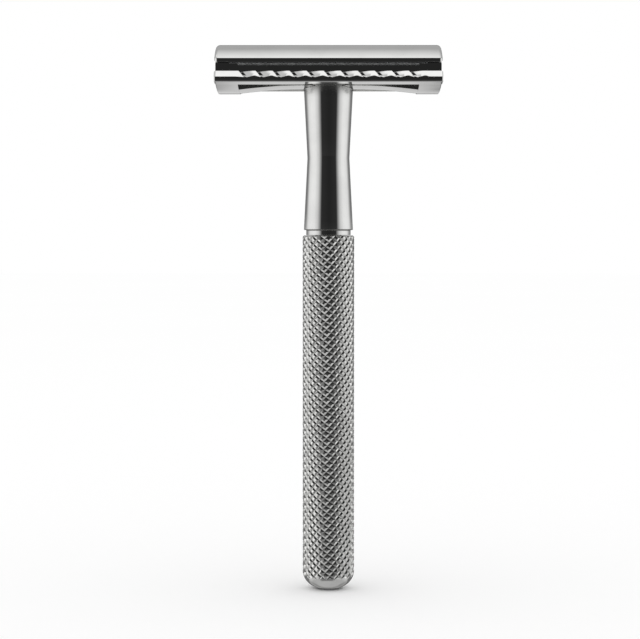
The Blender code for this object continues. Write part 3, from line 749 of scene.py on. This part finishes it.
def make_cap_stud():
    """The stud, with a true helical thread up to a plain length under the cap."""
    build = bmesh.new()
    radius = STUD_HIGH.x
    plain = arc_height(ARC_RADIUS, 0) - STUD_PLAIN
    count = math.ceil((STUD_HIGH.z - STUD_LOW.z) / THREAD_PITCH * THREAD_STEPS)
    rings = []
    for row in range(count + 1):
        height = STUD_LOW.z + (STUD_HIGH.z - STUD_LOW.z) * row / count
        fade = smooth((plain - height) / THREAD_PITCH)
        ring = []
        for k in range(THREAD_SIDES):
            phase = (height / THREAD_PITCH - k / THREAD_SIDES) % 1
            wave = (abs(2 * phase - 1) - THREAD_FLAT) / (1 - 2 * THREAD_FLAT)
            reach = radius - THREAD_DEPTH * fade * min(1.0, max(0.0, wave))
            end = min(height - STUD_LOW.z, STUD_HIGH.z - height)
            reach = min(reach, radius - STUD_CHAMFER + end)
            ring.append(build.verts.new(polar(reach, 2 * math.pi * k / THREAD_SIDES, height)))
        rings.append(ring)
    for first, second in zip(rings, rings[1:]):
        for k in range(THREAD_SIDES):
            near = (k + 1) % THREAD_SIDES
            build.faces.new((first[k], first[near], second[near], second[k]))
    build.faces.new(rings[0])
    build.faces.new(rings[-1])
    return piece_from("threaded_cap_stud", build, sharp=25)


def make_pin(name, side):
    """An alignment pin with a rounded tip."""
    profile = [(0, PIN_HIGH.z), (PIN_RADIUS, PIN_HIGH.z)]
    for angle in quarter(ROUND_STEPS):
        reach = PIN_RADIUS - PIN_ROUND * (1 - math.cos(angle))
        profile.append((reach, PIN_LOW.z + PIN_ROUND * (1 - math.sin(angle))))
    profile.append((0, PIN_LOW.z))
    pin = turned(name, profile, PIN_SIDES)
    for vert in pin.data.vertices:
        vert.co.x += side * PIN_PLACE
    return pin


# Materials


def node(tree, kind, inputs=None, **settings):
    """Adds a shader node. An input is a value or another node's output."""
    made = tree.nodes.new(kind)
    for key, value in settings.items():
        setattr(made, key, value)
    for key, value in (inputs or {}).items():
        if isinstance(value, bpy.types.NodeSocket):
            tree.links.new(value, made.inputs[key])
        else:
            made.inputs[key].default_value = value
    return made


def calc(tree, operation, *values):
    return node(tree, "ShaderNodeMath", dict(enumerate(values)), operation=operation).outputs[0]


def times(tree, *values):
    """The product of two or more values."""
    product = values[0]
    for value in values[1:]:
        product = calc(tree, "MULTIPLY", product, value)
    return product


def rest(tree, share):
    """What a share leaves of 1."""
    return calc(tree, "SUBTRACT", 1.0, share)


def ramp(tree, value, low, high, start=0.0, end=1.0, ease=True):
    """Maps low..high on to start..end."""
    kind = "SMOOTHSTEP" if ease else "LINEAR"
    inputs = {"Value": value, "From Min": low, "From Max": high, "To Min": start, "To Max": end}
    return node(tree, "ShaderNodeMapRange", inputs, interpolation_type=kind).outputs["Result"]


def blend(tree, share, first, second):
    """Mixes two colours, which are the mix node's inputs 6 and 7."""
    colours = {0: share, 6: first, 7: second}
    return node(tree, "ShaderNodeMix", colours, data_type="RGBA").outputs[2]


def noise(tree, where, scale, stretch=(1, 1, 1), detail=3.0):
    placed = node(tree, "ShaderNodeMapping", {"Vector": where, "Scale": stretch}).outputs["Vector"]
    made = node(tree, "ShaderNodeTexNoise", {"Vector": placed, "Scale": scale, "Detail": detail})
    return made.outputs["Fac"]


def object_place(tree):
    return node(tree, "ShaderNodeTexCoord").outputs["Object"]


def axes(tree, vector):
    return node(tree, "ShaderNodeSeparateXYZ", {"Vector": vector}).outputs


def start_material(name):
    made = bpy.data.materials.new(name)
    made.use_nodes = True
    tree = made.node_tree
    return made, tree, tree.nodes["Principled BSDF"], object_place(tree)


def metal(name, bright, dull, smoothness, lines, line_scale, wave=PLATED_WAVE):
    """A plated or drawn metal: clouded polish, fine lines and a little waviness.

    The arguments after the name are those of a finish, and then the height of its waviness.
    """
    made, tree, shader, where = start_material(name)
    haze = ramp(tree, noise(tree, where, HAZE_SCALE, detail=5.0), *HAZE_SPAN)
    fine = noise(tree, where, line_scale, lines, 2.0)
    colour = blend(tree, haze, (*bright, 1), (*dull, 1))
    rough = ramp(tree, haze, 0, 1, *smoothness)
    rough = times(tree, rough, ramp(tree, fine, *LINE_ROUGHNESS))
    slow = {
        "Height": noise(tree, where, WAVE_SCALE, detail=1.0),
        "Distance": wave * MICRON * 10,
        "Strength": WAVE_STRENGTH,
    }
    scratches = {
        "Height": fine,
        "Distance": SCRATCH_HEIGHT,
        "Strength": SCRATCH_STRENGTH,
        "Normal": node(tree, "ShaderNodeBump", slow).outputs["Normal"],
    }
    bumped = node(tree, "ShaderNodeBump", scratches).outputs["Normal"]
    shader.inputs["Metallic"].default_value = 1.0
    tree.links.new(colour, shader.inputs["Base Color"])
    tree.links.new(rough, shader.inputs["Roughness"])
    tree.links.new(bumped, shader.inputs["Normal"])
    return made


def darken(made, mask, colour, roughness):
    """Lays a residue over a metal where mask is 1."""
    tree = made.node_tree
    shader = tree.nodes["Principled BSDF"]
    covers = (("Base Color", (*colour, 1)), ("Roughness", (roughness,) * 3 + (1,)))
    for socket, over in covers:
        under = shader.inputs[socket].links[0].from_socket
        tree.links.new(blend(tree, mask, under, over), shader.inputs[socket])


def knurl_metal():
    """Satin plating with residue at the bottom of the grooves, and a dark ring of painted shade
    round the foot.
    """
    made = metal("knurled_chrome_plate", *KNURL_FINISH)
    tree = made.node_tree
    where = object_place(tree)
    place = axes(tree, where)
    flat = node(tree, "ShaderNodeCombineXYZ", {"X": place["X"], "Y": place["Y"]}).outputs["Vector"]
    radius = node(tree, "ShaderNodeVectorMath", {0: flat}, operation="LENGTH").outputs["Value"]
    shallow = GRIP_RADIUS - GROOVE_RESIDUE_TOP * KNURL_DEPTH
    deep = ramp(tree, radius, shallow, GRIP_RADIUS - KNURL_DEPTH)
    above = ramp(tree, place["Z"], DOME_HEIGHT * DOME_CLEAN, DOME_HEIGHT)
    patchy = ramp(tree, noise(tree, where, PATCH_SCALE), *PATCH_SPAN)
    darken(made, times(tree, deep, above, patchy), *GROOVE_RESIDUE)
    # Painted shade: a dark ring round the foot's flat that is not metallic
    foot = ramp(tree, place["Z"], FOOT_SHADE_FADE, FOOT_SHADE_RING)
    darken(made, foot, *FOOT_PAINTED_SHADE)
    tree.links.new(rest(tree, foot), tree.nodes["Principled BSDF"].inputs["Metallic"])
    return made


def plate_metal():
    """Bright plating with painted shade in the root of each notch."""
    made = metal("base_plate_chrome", *PLATE_FINISH)
    tree = made.node_tree
    place = axes(tree, object_place(tree))
    away = calc(tree, "ABSOLUTE", place["Y"])
    along = times(tree, place["X"], times(tree, calc(tree, "SIGN", place["Y"]), -1.0))
    down = calc(tree, "SUBTRACT", SEAT + BAR_TOP, place["Z"])
    down = calc(tree, "DIVIDE", down, BAR_BEVEL)
    leaned = times(tree, calc(tree, "SUBTRACT", down, 0.5), NOTCH_LEAN)
    along = calc(tree, "SUBTRACT", calc(tree, "SUBTRACT", along, leaned), NOTCH_START)
    pitches = calc(tree, "DIVIDE", along, NOTCH_PITCH)
    phase = calc(tree, "FRACT", pitches)
    # Painted shade in the root of each notch, where the steep wall meets the scoop
    root = rest(tree, ramp(tree, phase, *NOTCH_SHADE_END))
    root = times(tree, root, ramp(tree, phase, 0, NOTCH_SHADE_START))
    begun = calc(tree, "GREATER_THAN", pitches, 0)
    inside = times(tree, begun, calc(tree, "LESS_THAN", pitches, NOTCH_COUNT))
    crest = PLATE_HIGH.y - BAR_BEVEL
    out = ramp(tree, away, crest - BAR_CREST, crest)
    low = ramp(tree, down, *NOTCH_SHADE_LOW)
    darken(made, times(tree, root, inside, out, low), *NOTCH_PAINTED_SHADE)
    return made


def neck_metal():
    """Bright plating, hazed and painted darker as shade just below the head, with a line of painted
    shade over the groove.
    """
    made = metal("neck_chrome", *NECK_FINISH)
    tree = made.node_tree
    height = axes(tree, object_place(tree))["Z"]
    # Hazed band, painted darker as shade under the head
    darken(made, ramp(tree, height, SEAT - NECK_HAZE_AND_SHADE_DEPTH, SEAT), *NECK_TOP_HAZE_AND_SHADE)
    # Painted shade: a dark line in the corner under the neck's lower edge
    away = calc(tree, "ABSOLUTE", calc(tree, "SUBTRACT", height, NECK_FOOT + TURNED_HEIGHT))
    darken(made, ramp(tree, away, NECK_SHADE_LINE, NECK_SHADE_LINE / 2), *NECK_LINE_PAINTED_SHADE)
    return made


def blade_metal():
    """Drawn steel strip, brighter and coarser where the edges are ground."""
    made = metal("ground_blade_steel", *BLADE_FINISH, DRAWN_WAVE)
    tree = made.node_tree
    away = calc(tree, "ABSOLUTE", axes(tree, object_place(tree))["Y"])
    full = BLADE_HIGH.y - BLADE_GROUND * GROUND_FADE
    darken(made, ramp(tree, away, BLADE_HIGH.y - BLADE_GROUND, full), *GROUND_EDGE)
    return made


# Studio


def card(name, azimuth, spread, low, high):
    """A curved panel round the razor, seen only in its mirror surfaces."""
    build = bmesh.new()
    rows = []
    for j in range(CARD_STEPS + 1):
        elevation = math.radians(low + (high - low) * j / CARD_STEPS)
        level = CARD_DISTANCE * math.cos(elevation)
        height = CARD_DISTANCE * math.sin(elevation)
        row = []
        for i in range(2 * CARD_STEPS + 1):
            turn = math.radians(azimuth - spread + spread * i / CARD_STEPS)
            aim = Vector((level * math.sin(turn), -level * math.cos(turn), height))
            row.append(build.verts.new(STUDIO_CENTRE + aim))
        rows.append(row)
    for first, second in zip(rows, rows[1:]):
        for i in range(2 * CARD_STEPS):
            build.faces.new((first[i], first[i + 1], second[i + 1], second[i]))
    made = piece_from(name, build, sharp=180)
    made.visible_camera = False
    made.visible_diffuse = False
    made.visible_shadow = False
    return made


def card_material(name):
    """A card's material, with the azimuth and elevation of a point of it in degrees."""
    made = bpy.data.materials.new(name)
    made.use_nodes = True
    tree = made.node_tree
    tree.nodes.clear()
    point = node(tree, "ShaderNodeNewGeometry").outputs["Position"]
    ends = {0: point, 1: STUDIO_CENTRE}
    aim = node(tree, "ShaderNodeVectorMath", ends, operation="SUBTRACT").outputs["Vector"]
    aim = node(tree, "ShaderNodeVectorMath", {0: aim}, operation="NORMALIZE").outputs["Vector"]
    place = axes(tree, aim)
    turn = calc(tree, "ARCTAN2", place["X"], times(tree, place["Y"], -1.0))
    rise = calc(tree, "ARCSINE", place["Z"])
    return made, tree, calc(tree, "DEGREES", turn), calc(tree, "DEGREES", rise)


def emit(tree, strength):
    light = node(tree, "ShaderNodeEmission", {"Color": (1, 1, 1, 1), "Strength": strength})
    node(tree, "ShaderNodeOutputMaterial", {"Surface": light.outputs["Emission"]})


def stepped(tree, value, steps):
    """Reads a brightness off (value, brightness) steps."""
    low, high = steps[0][0], steps[-1][0]
    shade = node(tree, "ShaderNodeValToRGB", {"Fac": ramp(tree, value, low, high, ease=False)})
    stops = shade.color_ramp.elements
    for k, (at, grey) in enumerate(steps):
        place = (at - low) / (high - low)
        if k == 0:
            stop = stops[0]
        elif k == len(steps) - 1:
            stop = stops[len(stops) - 1]
        else:
            stop = stops.new(place)
        stop.position = place
        stop.color = (grey, grey, grey, 1)
    return node(tree, "ShaderNodeSeparateColor", {"Color": shade.outputs["Color"]}).outputs["Red"]


def lighten(tree, share, grey):
    """Takes a brightness to white by a share."""
    return rest(tree, times(tree, rest(tree, share), rest(tree, grey)))


def right_shade(tree, turn, rise):
    """How far the studio's right side darkens just below the horizon."""
    low = times(tree, ramp(tree, rise, *RIGHT_SHADE), ramp(tree, rise, *RIGHT_LOW))
    return times(tree, ramp(tree, turn, *RIGHT_SIDE), low)


def ground_shade(tree, turn, rise):
    """Brightness of the table: darker to the front and the back, and grey near the foot."""
    aside = calc(tree, "ABSOLUTE", calc(tree, "SUBTRACT", turn, GROUND_TURN))
    far = ramp(tree, rise, *GROUND_FAR, GROUND_GREY, GROUND_BRIGHT)
    front = ramp(tree, aside, *GROUND_SECTOR, GROUND_DARK, 1.0)
    back = ramp(tree, calc(tree, "ABSOLUTE", turn), *GROUND_BACK)
    far = times(tree, far, front, back)
    change = calc(tree, "SUBTRACT", GROUND_GREY, far)
    return calc(tree, "ADD", far, times(tree, ramp(tree, rise, *GROUND_NEAR), change))


def front_flag():
    """The dark side of the studio, behind the camera: paler to both sides and white above."""
    made, tree, turn, rise = card_material("front_flag_dark")
    aside = calc(tree, "ABSOLUTE", calc(tree, "SUBTRACT", turn, FLAG_TURN))
    aside = times(tree, aside, ramp(tree, rise, *FLAG_HIGH, 1.0, 1 - FLAG_SPREAD))
    grey = stepped(tree, aside, FLAG_BY_AZIMUTH)
    grey = calc(tree, "ADD", grey, stepped(tree, rise, FLAG_LIFT))
    grey = times(tree, grey, rest(tree, right_shade(tree, turn, rise)))
    grey = lighten(tree, ramp(tree, rise, *FLAG_TOP), grey)
    drop = calc(tree, "SUBTRACT", grey, ground_shade(tree, turn, rise))
    drop = times(tree, ramp(tree, rise, *FLAG_FOOT), drop)
    emit(tree, calc(tree, "SUBTRACT", grey, drop))
    card("front_flag", 0, 90, CARD_FOOT, FLAG_CARD_TOP).data.materials.append(made)


def back_card():
    """The backdrop that the cap and the handle's edges mirror: dark at the horizon."""
    made, tree, turn, rise = card_material("back_card_grey")
    grey = stepped(tree, rise, BACK_BY_ELEVATION)
    aside = calc(tree, "ABSOLUTE", turn)
    band = times(tree, ramp(tree, rise, *FLAG_HIGH), ramp(tree, rise, *FLAG_TOP, 1.0, 0.0))
    side = times(tree, stepped(tree, aside, BACK_SIDE), rest(tree, band))
    grey = lighten(tree, side, grey)
    strip = ramp(tree, aside, *BACK_STRIP)
    edges = times(tree, ramp(tree, aside, *BACK_EDGE), ramp(tree, rise, *BACK_SHADE))
    shades = [times(tree, band, ramp(tree, aside, *BACK_BAND))]
    shades += [times(tree, shade, strip) for shade in (edges, right_shade(tree, turn, rise))]
    for shade in shades:
        grey = times(tree, grey, rest(tree, shade))
    emit(tree, grey)
    card("back_card", 180, 90, CARD_FOOT, BACK_CARD_TOP).data.materials.append(made)


def ceiling_card():
    """A grey panel high on the left, which shades the scoops of the near bar."""
    made, tree, _, rise = card_material("ceiling_card_grey")
    middle = times(tree, ramp(tree, rise, *CEILING_LOW), ramp(tree, rise, *CEILING_HIGH))
    emit(tree, lighten(tree, rest(tree, middle), CEILING_GREY))
    low, high = CEILING_LOW[0], CEILING_HIGH[0]
    panel = card("ceiling_card", CEILING_AZIMUTH, CEILING_SPREAD, low, high)
    panel.scale = (CEILING_NEAR,) * 3
    panel.data.materials.append(made)


def ground_card():
    """The grey that the grip's domed end mirrors from below."""
    made, tree, turn, rise = card_material("ground_card_grey")
    emit(tree, ground_shade(tree, turn, rise))
    card("ground_card", 0, 180, GROUND_CARD_LOW, CARD_FOOT).data.materials.append(made)


def make_floor():
    build = bmesh.new()
    corners = [(-1, -1), (1, -1), (1, 1), (-1, 1)]
    points = [(x * FLOOR_HALF, y * FLOOR_HALF, -FLOOR_DROP) for x, y in corners]
    build.faces.new([build.verts.new(point) for point in points])
    floor = piece_from("floor", build)
    floor.visible_glossy = False
    made, tree, shader, where = start_material("white_floor")
    tint = ramp(tree, noise(tree, where, FLOOR_CLOUD_SCALE), 0, 1, *FLOOR_TINT, ease=False)
    channels = {"Red": tint, "Green": tint, "Blue": tint}
    colour = node(tree, "ShaderNodeCombineColor", channels).outputs["Color"]
    tree.links.new(colour, shader.inputs["Base Color"])
    shader.inputs["Roughness"].default_value = FLOOR_ROUGHNESS
    shader.inputs["Specular IOR Level"].default_value = 0.0
    floor.data.materials.append(made)


def make_studio():
    scene = bpy.context.scene
    scene.view_settings.view_transform = "Standard"
    world = bpy.data.worlds.new("studio")
    world.use_nodes = True
    sky = world.node_tree.nodes["Background"]
    sky.inputs["Color"].default_value = (1, 1, 1, 1)
    sky.inputs["Strength"].default_value = 1.0
    scene.world = world
    make_floor()
    front_flag()
    back_card()
    ceiling_card()
    ground_card()
    lamp = bpy.data.lights.new("softbox", "AREA")
    lamp.shape = "SQUARE"
    lamp.size = SOFTBOX_SIZE
    lamp.energy = SOFTBOX_POWER
    box = bpy.data.objects.new("softbox", lamp)
    box.location = SOFTBOX_PLACE
    scene.collection.objects.link(box)
    lens = bpy.data.cameras.new("camera")
    lens.lens = FOCAL_LENGTH
    lens.clip_start = CLIP_START
    camera = bpy.data.objects.new("camera", lens)
    camera.location = CAMERA_PLACE
    camera.rotation_euler = (math.pi / 2 + CAMERA_PITCH, 0, CAMERA_YAW)
    scene.collection.objects.link(camera)
    scene.camera = camera


def dress(piece, material, body, node_name):
    """Gives a piece its material, and puts it in the place of a CAD node."""
    piece.data.materials.clear()
    piece.data.materials.append(material)
    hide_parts(node_name)
    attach(piece, body)


def main():
    cap_polish = metal("cap_chrome", *CAP_FINISH)
    steel = metal("turned_steel", *STEEL_FINISH)
    brass = metal("turned_brass", *BRASS_FINISH)
    dress(make_grip(), knurl_metal(), "handle", "grip")
    dress(make_neck(), neck_metal(), "handle", "neck")
    dress(make_base_plate(), plate_metal(), "plate", "base_plate")
    dress(make_blade(), blade_metal(), "blade", "razor_blade")
    dress(make_cap(), cap_polish, "cap", "top_cap")
    dress(make_cap_stud(), steel, "cap", "cap_stud")
    dress(make_pin("guide_pin_left", -1), steel, "cap", "alignment_pin_left")
    dress(make_pin("guide_pin_right", 1), steel, "cap", "alignment_pin_right")
    for name, finish in (("neck_bush", brass), ("joining_stud", steel)):
        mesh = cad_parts[name].data
        mesh.materials.clear()
        mesh.materials.append(finish)
    make_studio()


main()
